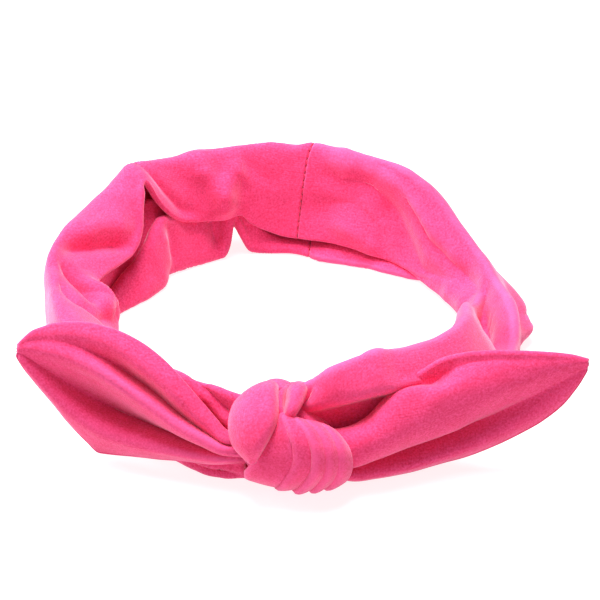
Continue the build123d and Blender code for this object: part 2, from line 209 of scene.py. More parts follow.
        (131, 82.5, 30), (134, 82.5, 28), (138, 82, 23), (143, 81, 19), (148, 79, 18.4),
        (155, 77.2, 17), (160, 76.4, 12), (165, 76, 5.4), (175, 73.4, 5.2), (190, 70.2, 5.2),
        (220, 68.7, 5.2), (259, 67.2, 6.2)],
}
LINE_NUMBER = {name: number for number, name in enumerate(BAND_LINES)}

# Folds of the band. Each row: how far the cloth is puffed out of the folded band, or pressed into it where
# negative; half the fold's width; then its path as (angle, line number), where a number between two of the
# lines above lies between them.
BAND_FOLDS = [
    # the inner face, just right of the back seam
    (-2.4, 5.0, [(81, 1.5), (75, 1.8), (70.5, 2.0), (66, 1.8), (62, 1.6), (58, 1.4)]),
    (3.6, 5.5, [(73, 0.8), (70, 0.9), (66, 0.9), (61, 0.8)]),
    (1.8, 6.0, [(76, 3.3), (72, 3.1), (67.5, 3.1), (62, 3.2)]),
    # along the inner face on the right
    (-2.4, 3.4, [(57, 3.9), (52, 3.75), (45, 3.75), (37, 3.8), (28.5, 3.8), (20, 3.9)]),
    (1.8, 4.5, [(32, 1.4), (26, 1.3), (20, 1.5)]),
    # high on it, near the back seam
    (1.2, 4.0, [(76, 4.4), (73, 3.7)]),
    # the inner face above the notch and on both sides of it
    (5.0, 5.5, [(116.5, 4.2), (114.5, 3.2), (112.5, 2.2), (111.5, 1.2), (111, 0.2)]),
    (4.4, 5.0, [(105, 3.4), (107.5, 2.3), (110, 1.2)]),
    (-1.6, 3.0, [(131, 2.9), (127.6, 1.6), (124, 0.8), (119, 0.7)]),
    (0.9, 5.0, [(100.5, 2.6), (98, 1.3), (97, 0.5)]),
    # the strip below it, left of the notch
    (-2.2, 3.0, [(113.8, 12.8), (113, 12.2), (112.3, 11.6)]),
    (1.3, 3.0, [(109.2, 12.6), (109.2, 11.4)]),
    (-1.3, 3.0, [(128.5, 12.6), (129.5, 11.6)]),
    (1.4, 2.6, [(133, 12.6), (133, 11.6)]),
    # the flap on the left, and its dimple and rolled lobe
    (3.6, 5.5, [(159, 4.0), (154.5, 3.6), (150, 2.9), (145.5, 1.9)]),
    (-3.8, 3.8, [(167, 4.4), (160, 2.9), (154, 1.9), (149, 1.0)]),
    (-5.2, 3.2, [(173.5, 3.5), (177, 3.1), (180, 2.8)]),
    (4.5, 4.4, [(173, 1.0), (176.5, 1.3), (181, 1.7)]),
    # the left side, in front of that flap
    (-2.8, 3.2, [(180, 5.4), (184, 4.7), (187, 4.0), (188, 2.6)]),
    (-2.2, 3.0, [(189, 2.1), (186, 1.9), (182, 1.5), (178, 1.0)]),
    # the right side, over the flare and along the crest's inner face
    (-2.0, 4.5, [(12, 8.5), (7, 8.6)]),
    (-3.0, 3.0, [(8, 4.9), (3, 5.0), (-3, 5.0), (-10, 4.8)]),
    # the front right, toward the knot
    (-1.5, 5.0, [(-54, 4.9), (-58, 4.75), (-63, 4.7)]),
    (-1.6, 3.0, [(-21, 4.4), (-17, 4.6)]),
    # the front left, behind the left ear
    (-1.8, 2.6, [(241.5, 4.6), (247.7, 6.4), (251.5, 6.9), (256, 7.2)]),
    (1.0, 1.6, [(247, 6.8), (252, 7.2), (256, 7.4)]),
    (-2.0, 1.8, [(247.5, 7.1), (251, 7.4), (255, 7.7)]),
    (-2.2, 1.7, [(236, 8.8), (246, 8.7), (258, 8.6)]),
    (-2.2, 1.6, [(243, 9.35), (250, 9.3), (258, 9.25)]),
    # beside the knot's top roll
    (-2.2, 2.0, [(-87, 5.1), (-85.6, 4.8), (-84.4, 4.5)]),
]

# The left ear, from the knot to its tip, as lines of (x, y, z) from its lower edge to its upper one.
LEFT_EAR_LINES = {
    "lower_edge": [
        (-13, -77, 10.5), (-20, -75, 8.8), (-28, -71.5, 6.4), (-38, -68, 5), (-50, -64.5, 3.8),
        (-58, -62.4, 3), (-62.5, -61.3, 2.8), (-66, -60.8, 6.5), (-72, -60, 14.5), (-79, -58.5, 24.5),
        (-86, -57.2, 35), (-88, -57, 39)],
    "lower_swell": [
        (-13, -78, 12), (-20, -77.5, 11.4), (-28, -75, 9.8), (-38, -71.8, 9.4), (-50, -68.4, 9.4),
        (-60, -65.4, 10), (-66, -63.6, 13), (-72, -62.2, 18.5), (-79, -60.2, 27.5), (-86, -57.7, 36.2),
        (-88, -57.1, 39.5)],
    "lower_flank": [
        (-13, -78, 12.8), (-20, -78, 12.4), (-28, -76, 11.8), (-38, -73.4, 12.2), (-50, -69.6, 13.4),
        (-60, -66.6, 15.4), (-68, -63.8, 19.2), (-76, -61.2, 25.8), (-83, -59, 33.2), (-88, -57.2, 40)],
    "first_valley": [
        (-13, -75, 13), (-20, -73.5, 12.2), (-28, -69.6, 12.6), (-38, -64.6, 13.4), (-50, -59.2, 15.2),
        (-60, -56.4, 18.4), (-68, -55.8, 23.2), (-76, -56, 29.4), (-83, -56.6, 36), (-88, -57, 40.2)],
    "under_ridge": [
        (-13, -78.6, 14), (-20, -78.4, 14.6), (-28, -76, 17), (-36, -73, 19.8), (-44, -69.4, 23.8),
        (-54, -65, 28.6), (-64, -60.8, 32.6), (-74, -58.4, 36), (-83, -57.3, 39.2), (-88, -57, 40.8)],
    "first_ridge": [
        (-13, -79, 15), (-20, -79, 16.4), (-28, -77, 19.6), (-36, -74.3, 23.2), (-44, -71, 28),
        (-54, -67.2, 33.5), (-64, -63, 38.3), (-74, -59.8, 40.8), (-83, -57.7, 41.6), (-88, -57, 41)],
    "second_valley": [
        (-13, -75.4, 15.6), (-20, -75.4, 16), (-28, -71.6, 18.8), (-36, -67.4, 23.2), (-44, -63, 28.6),
        (-52, -60, 33.4), (-62, -58.6, 39.4), (-74, -57.2, 43.6), (-83, -56.3, 43.5), (-88, -56.9, 41.5)],
    "second_ridge": [
        (-13, -76.8, 17.2), (-20, -77, 18.8), (-25, -74.5, 22), (-31, -71.8, 27), (-38, -69, 33.4),
        (-47, -65, 39.4), (-58, -60, 45), (-70, -57, 47), (-80, -55.7, 46), (-85, -56, 44.3),
        (-88, -56.8, 42)],
    "upper_edge": [
        (-13, -73.4, 18), (-20, -73, 20), (-24, -71, 23.6), (-28, -69, 28.2), (-33, -66.5, 33.8),
        (-40, -62, 39.8), (-48, -58.5, 44.8), (-58, -56, 48.6), (-66, -54.6, 49.8), (-74, -54, 49.2),
        (-82, -54.5, 46.6), (-85, -55.5, 45), (-88, -56.7, 42.5)],
}

# The right ear, in the same way.
RIGHT_EAR_LINES = {
    "lower_edge": [
        (12, -76, 6), (19, -76, 3.2), (28, -73.5, 2), (37, -71, 1.8), (53, -66.5, 3.2), (69, -63.5, 8.6),
        (80, -62.3, 14.4), (88, -62, 21.4), (93, -62.2, 29), (96.5, -62.5, 36.5)],
    "lower_rim": [
        (12, -77, 8), (19, -78.6, 6.2), (28, -76.4, 5.4), (37, -74, 6), (53, -69.4, 8.6), (69, -65.6, 14.6),
        (80, -64, 20.6), (88, -63.3, 26.8), (93, -62.9, 32.2), (96.5, -62.6, 37.6)],
    "recess": [
        (12, -75, 9), (19, -74, 8.2), (28, -70.8, 8.8), (38, -67, 9.8), (53, -62.8, 13.2), (63, -61.6, 17),
        (72, -61.6, 22), (82, -62, 27.8), (90, -62.4, 33.6), (96.5, -62.6, 38.2)],
    "overhang": [
        (12, -79, 12), (19, -80, 11.4), (28, -77.4, 13.2), (38, -73.4, 15.2), (53, -68.6, 18.6),
        (63, -65.4, 22.4), (72, -63.8, 26.4), (82, -62.9, 31), (90, -62.7, 35.4), (96.5, -62.7, 38.8)],
    "middle": [
        (12, -80, 15), (19, -81, 15.5), (28, -79, 18.5), (38, -75.5, 22), (50, -71.2, 26.4),
        (63, -67.6, 30.4), (76, -64.8, 34), (86, -63.4, 36.8), (92, -62.9, 38.6), (96.5, -62.8, 39.4)],
    "upper_face": [
        (12, -79, 18.5), (19, -79.6, 19.4), (26, -78, 21.6), (32, -75.6, 25.2), (40, -72.4, 29.4),
        (48, -69.8, 32.2), (56, -67.3, 34.4), (66, -65, 36.4), (80, -63.6, 37.8), (90, -63.1, 38.8),
        (96.5, -62.8, 39.6)],
    "front_rim": [
        (12, -76, 19.4), (19, -76.4, 20.8), (26, -75, 22.8), (31, -72.8, 27.2), (36, -70.4, 31.4),
        (40, -69.2, 32.6), (46, -68.2, 32.4), (51, -67, 33.2), (55, -64.6, 36), (60, -63.6, 37.8),
        (70, -63.3, 38.7), (82, -63.1, 39), (91, -63, 39.6), (96.5, -62.8, 39.9)],
    "hollow": [
        (12, -74, 19), (19, -73.8, 20), (26, -72, 22.6), (31, -69.8, 27.4), (36, -67.2, 31.4),
        (41, -65.2, 31.4), (46, -63.6, 31), (51, -62, 33.8), (55, -61.8, 37), (60, -61.9, 38.8),
        (70, -62.1, 39.8), (82, -62.4, 40.4), (91, -62.6, 40.6), (96.5, -62.8, 40.2)],
    "back_rim": [
        (12, -72.4, 17), (19, -71.6, 18.6), (26, -69.6, 22.6), (31, -67.4, 28), (37, -65, 33),
        (44, -62.2, 37), (51, -60.6, 40.2), (60, -60.8, 42.4), (70, -61.2, 43), (82, -61.7, 42.8),
        (91, -62.2, 42), (96.5, -62.8, 40.6)],
}

# The knot. Each turn of the strap is a grid of points: one list along the strap for each line across it.
LEFT_LOBE = [
    [(-9, -62, 24), (-14, -66, 27.5), (-17.3, -72, 29), (-18.6, -77.6, 25.8), (-17.4, -81.4, 21.2),
     (-13.5, -83, 17)],
    [(-8, -62, 27.5), (-11.8, -66.5, 31), (-14.8, -73, 32.3), (-16.8, -80, 28.6), (-15.8, -84, 22.2),
     (-12.8, -84.6, 17)],
    [(-7, -62, 29), (-9.6, -67, 33), (-12, -74, 34.8), (-14, -82.1, 31), (-14, -86, 23.6),
     (-12, -85.6, 17)],
    [(-6, -62, 29.5), (-7.6, -67, 33.8), (-9, -74.8, 36), (-10.6, -83.8, 32.2), (-12, -87.2, 24),
     (-11.5, -86.2, 17)],
    [(-5.2, -62, 29.5), (-5.4, -67, 34), (-5.6, -75.5, 36), (-6.2, -84.6, 32), (-9.2, -88, 25),
     (-11, -86.2, 17.8)],
    [(-4.2, -62, 28), (-3.8, -67, 31.5), (-3.8, -74.5, 33), (-4, -81.5, 29.5), (-7.2, -84.5, 24),
     (-10.4, -84, 17.4)],
]
PLEATED_WRAP = [
    [(-1.5, -75, 28), (-3, -79.5, 30), (-4.5, -82.5, 27), (-7.5, -84.5, 22), (-11.5, -85.2, 16.5),
     (-14.4, -82.8, 10.5), (-13, -78, 5.5), (-9, -70, 3)],
    [(-0.5, -76, 28), (-1.6, -80.8, 30.8), (0, -85.3, 28.8), (1.6, -87.8, 24.5), (1.4, -88.9, 18.5),
     (-2, -87.4, 10.5), (-4, -82, 4.8), (-4, -73, 2.3)],
    [(1, -76, 27), (1.4, -80.8, 29.8), (5, -85.3, 27.6), (7.4, -87.8, 23), (7.4, -88.3, 16.5),
     (4.2, -86, 9), (2, -81.5, 3.8), (1, -73, 2)],
    [(4, -76, 25), (5, -80.2, 28), (9, -84, 26), (11.2, -86.4, 21.6), (11.6, -86.8, 15.4),
     (9, -84.2, 7.8), (7, -80, 3), (6, -73, 1.8)],
    [(9, -75.5, 23), (10, -79, 25.8), (13, -82.6, 23.8), (15, -85, 20), (15.4, -85.2, 14.2),
     (13.6, -82.6, 7.2), (11.4, -78.6, 2.7), (10, -73, 1.8)],
    [(13, -74, 19), (14.4, -77, 22), (16.8, -80, 20.8), (19.2, -82.2, 17.5), (19.8, -82.3, 12.2),
     (18.8, -80.3, 6.8), (16.5, -77, 3), (14, -73, 1.8)],
]
TOP_ROLL = [
    [(-3, -79.5, 28), (-3.2, -79, 31.5), (-3.2, -76, 33.5), (-2.8, -71, 34), (-1.5, -64, 30.5)],
    [(-1.6, -80.5, 28.5), (-1.5, -78.2, 30), (-1.2, -73.2, 28.4), (-0.7, -68.8, 30), (0.5, -63, 30)],
    [(-0.6, -81, 28.5), (0.5, -80.6, 32.8), (1.5, -76.8, 34.2), (2, -71, 35), (3, -63, 31)],
    [(0.2, -80.5, 28.5), (1.8, -79.8, 32.4), (3.2, -76, 33.8), (4.4, -70.5, 34.2), (5, -63, 30.5)],
    [(0.4, -78, 27), (1.8, -77, 29.6), (3.4, -73.5, 30), (4.8, -69, 30.8), (6, -63, 28.5)],
]
BACK_TURN = [
    [(-13, -68, 27), (-15, -61, 24.5), (-15, -58.8, 16), (-14.5, -60, 7), (-12, -66, 2.2)],
    [(-8, -68, 30), (-8.5, -59, 27), (-9, -56.3, 17), (-8.5, -57.5, 7), (-7, -65, 1.9)],
    [(-3, -67, 31), (-3, -58.6, 28.5), (-2.5, -55.6, 18), (-2, -56.8, 7), (-1, -65, 1.9)],
    [(3, -65, 28), (4, -58.8, 25.5), (5, -55.8, 17), (5, -57, 7), (5, -65, 1.9)],
    [(9, -64, 22), (11, -59.2, 20.5), (12, -56.8, 15), (12, -58.2, 7), (11, -65, 1.9)],
    [(14, -64, 17), (16.5, -60.4, 16), (17.5, -58.8, 12.5), (17.5, -60.4, 7), (15, -66, 2.2)],
]
CORE_LEVELS = [                 # height, half the width and half the depth of the knot's core
    (3, 9, 6), (7, 14, 10), (12, 16, 12), (17, 15.5, 11.5), (21, 12.5, 9.5), (25, 8, 7), (28, 4, 4)]
CORE_CENTRE = (-0.5, -71.5)
CORE_SIDES = 40
CORE_LUMP = 9                   # size of the lumps on it
CORE_UNEVEN = 0.8 / 14          # how much of its width they take or add
KNOT_CENTRE = (1.5, -72, 17)

WRAP = 2.3                      # the folded strap that is wound around the knot, two layers together
WRAP_RIM = 1.2                  # rounding of its edges
WRAP_PLEATS = (0.3, 0.9, 1.7, 1.7, 1.5)   # how far each pleat stands over the one before it
BACK_PLEATS = (0.8, 1.3, 1.5, 1.1)
PLEAT_START = 0.28              # the part of a turn's length over which its pleats open
PLEAT_HIDDEN = 0.112            # the part of it at the start where they are still closed
PLEAT_EDGE = 0.16               # the rounding of a pleat's edge, as a part of its width
PLEAT_FALL = 1.4                # how it falls away from its edge: 1 is straight, more is rounder

# Each turn: its name, its CAD node, its points, samples between two of them, its pleats, its flat size.
KNOT_TURNS = (
    ("knot_left_lobe_cloth", "knot_left_turn", LEFT_LOBE, 14, (), (20, 40)),
    ("knot_pleated_wrap_cloth", "knot_right_wrap", PLEATED_WRAP, 16, WRAP_PLEATS, (42, 52)),
    ("knot_top_roll_cloth", "knot_top_roll", TOP_ROLL, 12, (), (12, 30)),
    ("knot_back_turn_cloth", "knot_back_turn", BACK_TURN, 14, BACK_PLEATS, (34, 42)),
)
CORE_FLAT = (32, 40)

# Each ear: its side, its lines, x at its root and its tip, and where its bend starts and ends.
EARS = (
    ("left", LEFT_EAR_LINES, -13, -88, (-18, -76, 16), (-34, -74, 18)),
    ("right", RIGHT_EAR_LINES, 12, 96.5, (21, -77, 17), (37, -74, 20)),
)

THREAD = 0.5                    # seam thread
THREAD_SIDES = 8
THREAD_TIP = 0.08               # how blunt a stitch's ends are
THREAD_ASIDE = (0.3, 0.2, 0.93)   # a direction that no stitch lies along
STITCH = 2.1                    # one stitch
STITCH_GAP = 0.7
STITCH_RINGS = 6
SEAM_SUNK = 0.3                 # how deep the thread lies in its seam
SEAM_LEVEL = PLY_GAP / 2 + PLY - SEAM_SUNK   # so far from the cloth's middle surface
EDGE_ROW = 3                    # how many rows in from the band's edge its stitches lie
BAND_SEWN = slice(6, -8)        # the columns of the band that they cross
SEAM_SEWN = slice(6, -6)        # the rows that the back seam's stitches cross
EAR_SEWN = slice(12, -26)       # the columns that an ear's stitches cross

WALE = 0.085                    # the knit's ribs, in centimetres of the cloth map
COURSE = 0.07                   # its courses
COURSE_HEIGHT = 0.6             # how high they stand beside the ribs
SPECKLE = 1400                  # noise of the nap, the mottling and the thread's fibres, to a metre
BLOTCH = 160
FIBRE = 2600
DEEP_PINK = (0.74, 0.02, 0.1, 1)
LIGHT_PINK = (0.95, 0.078, 0.265, 1)
# painted highlight: the paler pink that the ridges are lightened toward, standing in for the nap's sheen
PAINTED_SHEEN_PINK = (0.97, 0.12, 0.35, 1)
SHEEN_PINK = (1, 0.66, 0.86, 1)
THREAD_DEEP = (0.62, 0.012, 0.07, 1)
THREAD_LIGHT = (0.88, 0.035, 0.15, 1)

FLOOR_SIZE = 6                  # metres
FLOOR_GREY = (0.32, 0.32, 0.32, 1)
FLOOR_GLOW = 0.82
WHITE = (1, 1, 1, 1)
SKY_LIGHT = 0.32
LIGHTS = (                      # name, place and size in metres, power in watts
    ("key", (-0.08, 0.1, 0.9), 0.5, 17),
    ("left_fill", (-0.6, 0.16, 0.34), 0.4, 4),
)
CAMERA_TARGET = (3.6, 10.7, 17.1)
CAMERA_ELEVATION = 32           # degrees
CAMERA_DISTANCE = 0.7           # metres
CAMERA_LENS = 116.8
CAMERA_SENSOR = 36
CAMERA_NEAR = 0.01              # metres


# ---- curves and grids ------------------------------------------------------
def hermite(start, end, start_slope, end_slope, gap, t):
    """A place on the smooth curve between two points with given slopes, with `t` from 0 to 1 across a gap."""
    return (start * (2 * t**3 - 3 * t**2 + 1) + start_slope * gap * (t**3 - 2 * t**2 + t)
            + end * (3 * t**2 - 2 * t**3) + end_slope * gap * (t**3 - t**2))


def smooth_keys(keys, at):
    """Values at the places `at`, on smooth curves through keyed rows that never overshoot the keys."""
    table = np.array(keys, float)
    table = table[np.argsort(table[:, 0])]
    x, y = table[:, 0], table[:, 1:]
    gap = np.diff(x)[:, None]
    slope = np.diff(y, axis=0) / gap
    tangent = np.zeros_like(y)
    tangent[0], tangent[-1] = slope[0], slope[-1]
    a, b = slope[:-1], slope[1:]
    w1, w2 = 2 * gap[1:] + gap[:-1], gap[1:] + 2 * gap[:-1]
    with np.errstate(divide="ignore", invalid="ignore"):
        mean = (w1 + w2) / (w1 / a + w2 / b)
    tangent[1:-1] = np.where(a * b > 0, mean, 0)
    i = np.clip(np.searchsorted(x, at, side="right") - 1, 0, len(x) - 2)
    t = ((np.asarray(at) - x[i])[:, None]) / gap[i]
    return hermite(y[i], y[i + 1], tangent[i], tangent[i + 1], gap[i], t)


def spline_rows(points, steps):
    """Smooth curves through each row of points (rows, points, 3), with `steps` samples per stretch."""
    gap = np.maximum(np.linalg.norm(np.diff(points, axis=1), axis=2), 1e-3)[..., None] ** 0.5
    slope = np.diff(points, axis=1) / gap
    tangent = np.empty_like(points)
    tangent[:, 0], tangent[:, -1] = slope[:, 0], slope[:, -1]
    before, after = gap[:, :-1], gap[:, 1:]
    tangent[:, 1:-1] = (slope[:, :-1] * after + slope[:, 1:] * before) / (before + after)
    ends = (points[:, :-1], points[:, 1:], tangent[:, :-1], tangent[:, 1:])
    pieces = [hermite(*ends, gap, step / steps) for step in range(steps)]
    woven = np.stack(pieces, axis=2).reshape(len(points), -1, 3)
    return np.concatenate([woven, points[:, -1:]], axis=1)


def grid_normals(grid):
    """Unit normals of a grid of points (columns, rows, 3)."""
    normal = np.cross(np.gradient(grid, axis=0), np.gradient(grid, axis=1))
    length = np.linalg.norm(normal, axis=2, keepdims=True)
    return normal / np.maximum(length, 1e-9)


def reach_across(grid):
    """How far each point lies along its row, across the cloth."""
    gaps = np.linalg.norm(np.diff(grid, axis=1), axis=2)
    return np.concatenate([np.zeros((len(grid), 1)), np.cumsum(gaps, axis=1)], axis=1)


def reach_along(grid):
    """How far each point lies along the cloth, from its first column."""
    return reach_across(grid.transpose(1, 0, 2)).T


def edge_distance(grid):
    """Distance of each point from the nearer long edge of the cloth."""
    across = reach_across(grid)
    return np.minimum(across, across[:, -1:] - across)


def resample_rows(grid, count, number, insets=(0, 0)):
    """Each row spread along its length, closer together near both ends, with its points and line numbers.
    The insets are left out at its start and its end."""
    even = np.linspace(0, 1, count)
    share = even - CROWDING * np.sin(2 * math.pi * even) / (2 * math.pi)
    out = np.empty((len(grid), count, 3))
    values = np.empty((len(grid), count))
    for i, (row, reach) in enumerate(zip(grid, reach_across(grid))):
        at = insets[0] + share * (reach[-1] - sum(insets))
        for axis in range(3):
            out[i, :, axis] = np.interp(at, reach, row[:, axis])
        values[i] = np.interp(at, reach, number if np.ndim(number) == 1 else number[i])
    return out, values


def surface_through(lines, count):
    """A grid through some lines of points, with `count` rows, and the line number of each point."""
    dense = spline_rows(np.stack(lines, axis=1), LINE_STEPS)
    return resample_rows(dense, count, np.linspace(0, len(lines) - 1, dense.shape[1]))


def above_floor(grid, least):
    """The grid with no point lower than `least`."""
    lifted = grid.copy()
    lifted[..., 2] = np.maximum(lifted[..., 2], least)
    return lifted


# ---- uneven waves in the cloth ---------------------------------------------
def hashed(cells, seed):
    """A repeatable value from -1 to 1 for each whole-numbered cell."""
    mixed = np.sin(cells @ np.array(HASH_WEIGHTS) + seed * HASH_SEED) * HASH_SCALE
    return 2 * (mixed - np.floor(mixed)) - 1


def value_noise(points, size, seed):
    """Smooth noise from -1 to 1 with features of `size` millimetres."""
    scaled = points / size
    cell = np.floor(scaled)
    part = scaled - cell
    part = part * part * (3 - 2 * part)
    total = np.zeros(points.shape[:-1])
    for corner in np.ndindex(2, 2, 2):
        corner = np.array(corner)
        weight = np.prod(np.where(corner == 1, part, 1 - part), axis=-1)
        total += weight * hashed(cell + corner, seed)
    return total


def crumple(grid, normal, heights):
    """The grid with soft uneven waves, wide and fine, pushed along its normals."""
    wide, fine = heights
    waves = wide * value_noise(grid, WIDE_WAVE, 1) + fine * value_noise(grid, FINE_WAVE, 2)
    return grid + normal * waves[..., None]


# ---- cloth meshes ----------------------------------------------------------
def ring_to_frame(points):
    """Millimetres about the centre of the head opening, to metres in the frame."""
    return (np.asarray(points, float) + (RING_CENTRE[0], RING_CENTRE[1], 0)) * MM


def link_mesh(name, points, faces, uv):
    """A smooth-shaded mesh object, from points in millimetres about the ring, with their cloth map."""
    mesh = bpy.data.meshes.new(name)
    mesh.from_pydata(ring_to_frame(points).tolist(), [], faces)
    layer = mesh.uv_layers.new(name="cloth")
    corner = np.empty(len(mesh.loops), np.int32)
    mesh.loops.foreach_get("vertex_index", corner)
    centimetres = uv[corner] / 10
    layer.data.foreach_set("uv", centimetres.astype(np.float32).ravel())
    mesh.polygons.foreach_set("use_smooth", [True] * len(mesh.polygons))
    mesh.update()
    piece = bpy.data.objects.new(name, mesh)
    bpy.context.scene.collection.objects.link(piece)
    return piece


def grid_faces(columns, rows, start, flip):
    """Four-sided faces of a grid whose points are numbered from `start`."""
    faces = []
    for i in range(columns - 1):
        for j in range(rows - 1):
            a = start + i * rows + j
            face = (a, a + rows, a + rows + 1, a + 1)
            faces.append(face[::-1] if flip else face)
    return faces


def tube_faces(rings, sides, start):
    """Faces of a closed tube through rings of points that are numbered from `start`."""
    faces = []
    for ring in range(rings - 1):
        for side in range(sides):
            a = start + ring * sides + side
            b = start + ring * sides + (side + 1) % sides
            faces.append((a, b, b + sides, a + sides))
    first = range(start, start + sides)
    last = range(start + (rings - 1) * sides, start + rings * sides)
    return faces + [tuple(reversed(first)), tuple(last)]


def closed_cloth(name, upper, lower, uv):
    """A closed thin mesh between two grids of points (columns, rows, 3)."""
    columns, rows = upper.shape[:2]
    count = columns * rows
    points = np.concatenate([upper.reshape(-1, 3), lower.reshape(-1, 3)])
    faces = grid_faces(columns, rows, 0, False) + grid_faces(columns, rows, count, True)
    rim = [i * rows for i in range(columns)]
    rim += [(columns - 1) * rows + j for j in range(1, rows)]
    rim += [i * rows + rows - 1 for i in range(columns - 2, -1, -1)]
    rim += list(range(rows - 2, 0, -1))
    for a, b in zip(rim, rim[1:] + rim[:1]):
        faces.append((b, a, a + count, b + count))
    both = np.concatenate([uv.reshape(-1, 2), uv.reshape(-1, 2)])
    return link_mesh(name, points, faces, both)


def round_over(distance, radius):
    """How much of its thickness the cloth has at a distance from an edge, and 1 well inside."""
    part = np.clip(distance / radius, 0, 1)
    return np.sqrt(np.clip(1 - (1 - part) ** 2, EDGE_KEPT ** 2, 1))


def round_ends(grid, radii):
    """How much of its thickness the cloth has near its first and last columns."""
    along = reach_along(grid)
    share = np.ones(grid.shape[:2])
    for distance, radius in zip((along, along[-1:] - along), radii):
        if radius:
            share *= round_over(distance, radius)
    return share


def facing(grid, normal):
    """The grid's own normals, on the same side as some others."""
    own = grid_normals(grid)
    return own if np.sum(own * normal) > 0 else -own


def lapping_ply(name, grid, normal, uv, lap, ends):
    """The layer on the normals' side, which laps round the edges where `lap` is 1."""
    edge = edge_distance(grid)
    body = round_over(edge, RIM) * ends
    tuck = np.clip((edge - RIM) / INSET, 0, 1)
    far = (PLY_GAP / 2 + PLY) * body
    lapped = tuck * PLY_GAP / 2 - (1 - tuck) * far
    near = np.where(lap == 1, lapped, PLY_GAP / 2 * body)
    upper = above_floor(grid + normal * far[..., None], FLOOR_GAP)
    lower = above_floor(grid + normal * near[..., None], FLOOR_GAP + PLY / 2)
    return closed_cloth(name, upper, lower, uv)


def covered_ply(name, grid, normal, uv, lap, ends):
    """The layer on the other side, which ends inside the edges where `lap` is 1."""
    edge = edge_distance(grid)
    body = round_over(edge, RIM) * ends
    middle = PLY_GAP / 2 + PLY / 2
    soft = PLY / 2 * round_over(edge, PLY / 2) * ends
    near = np.where(lap == 1, middle - soft, PLY_GAP / 2 * body)
    far = np.where(lap == 1, middle + soft, (PLY_GAP / 2 + PLY) * body)
    upper = above_floor(grid - normal * near[..., None], FLOOR_GAP + PLY)
    lower = above_floor(grid - normal * far[..., None], FLOOR_GAP + PLY)
    return closed_cloth(name, upper, lower, uv)


def two_plies(names, grid, normal, uv, laps, end_rims):
    """Two layers of cloth, seamed together along both long edges.

    The first named layer is on the normals' side. Where `laps` is 1 for the first or the last edge it laps
    round that edge on to the other side, and where it is 0 the seam runs along the edge itself. `end_rims`
    are how far the cloth is rounded over at its two ends."""
    rows = grid.shape[1]
    first_half = (np.arange(rows) < rows / 2)[None, :]
    lap = np.where(first_half, laps[0], laps[1])
    ends = round_ends(grid, end_rims)
    lapping = lapping_ply(names[0], grid, normal, uv, lap, ends)
    insets = [(RIM + INSET / 2) * side for side in laps]
    short, across = resample_rows(grid, rows, uv[..., 1], insets)
    short_uv = np.stack([uv[..., 0], across], axis=2)
    return lapping, covered_ply(names[1], short, facing(short, normal), short_uv, lap, ends)


# ---- band ------------------------------------------------------------------
def band_columns(side, last):
    """The angles of the columns of one half of the band, from the back seam to the knot."""
    count = int(round(abs(last - BACK_SEAM) / BAND_STEP)) + 1
    toward = math.copysign(1, last - BACK_SEAM)
    beside_seam = BACK_SEAM + toward * np.array(SEAM_COLUMNS)
    angles = np.concatenate([beside_seam, np.linspace(BACK_SEAM, last, count)[1:]])
    if side == "left":
        clear = (angles < NOTCH_SPAN[0]) | (angles > NOTCH_SPAN[1])
        angles = np.sort(np.concatenate([angles[clear], np.arange(*NOTCH_SPAN, NOTCH_STEP)]))
    return angles


def band_grid(angles):
    """The middle surface of the band, as a grid of points, with the line number of each."""
    lines = []
    for number, keys in enumerate(BAND_LINES.values()):
        radius, height = smooth_keys(keys, angles).T
        share = np.clip(1 - number / LINE_NUMBER["crest"], 0, 1)
        slant = SEAM_SLANT * share * np.exp(-((angles - BACK_SEAM) / SEAM_SPREAD) ** 2)
        turn = np.radians(angles + slant)
        lines.append(np.stack([radius * np.cos(turn), radius * np.sin(turn), height], axis=1))
    return surface_through(lines, BAND_ROWS)


def band_normals(grid):
    """Normals that point to the outside of the folded band."""
    normal = grid_normals(grid)
    middle = grid.shape[1] // 2
    outward = np.sum(normal[:, middle, :2] * grid[:, middle, :2])
    return normal if outward >= 0 else -normal


def spot_on_cloth(place, crossing, number, angles, uv):
    """Where an angle and a line number meet on the band's cloth map."""
    column = np.argmin(np.abs(angles - place))
    return math.radians(place) * MAP_RADIUS, np.interp(crossing, number[column], uv[column, :, 1])


def one_fold(width, keys, number, angles, uv):
    """How much of a fold's depth each point has, for a path of (angle, line number) keys."""
    ways = np.linspace(0, 1, FOLD_SPOTS)
    key_ways = np.linspace(0, 1, len(keys))
    places = np.interp(ways, key_ways, keys[:, 0])
    crossings = np.interp(ways, key_ways, keys[:, 1])
    fades = np.clip(np.minimum(ways, 1 - ways) / FOLD_FADE + FOLD_ENDS, 0, 1)
    fold = np.zeros(uv.shape[:2])
    for place, crossing, fade in zip(places, crossings, fades):
        gap = np.linalg.norm(uv - spot_on_cloth(place, crossing, number, angles, uv), axis=2)
        fold = np.maximum(fold, fade * np.exp(-(gap / width) ** 2))
    return fold


def press_folds(grid, number, angles, uv):
    """The grid with the band's folds pressed in along its normals."""
    push = np.zeros(grid.shape[:2])
    for depth, width, path in BAND_FOLDS:
        keys = np.array(path, float)
        if keys[:, 0].max() >= angles.min() and keys[:, 0].min() <= angles.max():
            push += depth * one_fold(width, keys, number, angles, uv)
    return grid + band_normals(grid) * push[..., None]


def band_half(side, last):
    """Both layers of one half of the band, and the grid that they lie around."""
    angles = band_columns(side, last)
    grid, number = band_grid(angles)
    across = reach_across(grid)
    along = np.radians(angles)[:, None] * np.full_like(across, MAP_RADIUS)
    uv = np.stack([along, across], axis=2)
    grid = press_folds(grid, number, angles, uv)
    grid = crumple(grid, band_normals(grid), BAND_WAVES)
    names = (f"band_{side}_outer_cloth", f"band_{side}_inner_cloth")
    return two_plies(names, grid, band_normals(grid), uv, (0, 0), (SEAM_RIM, 0)), grid


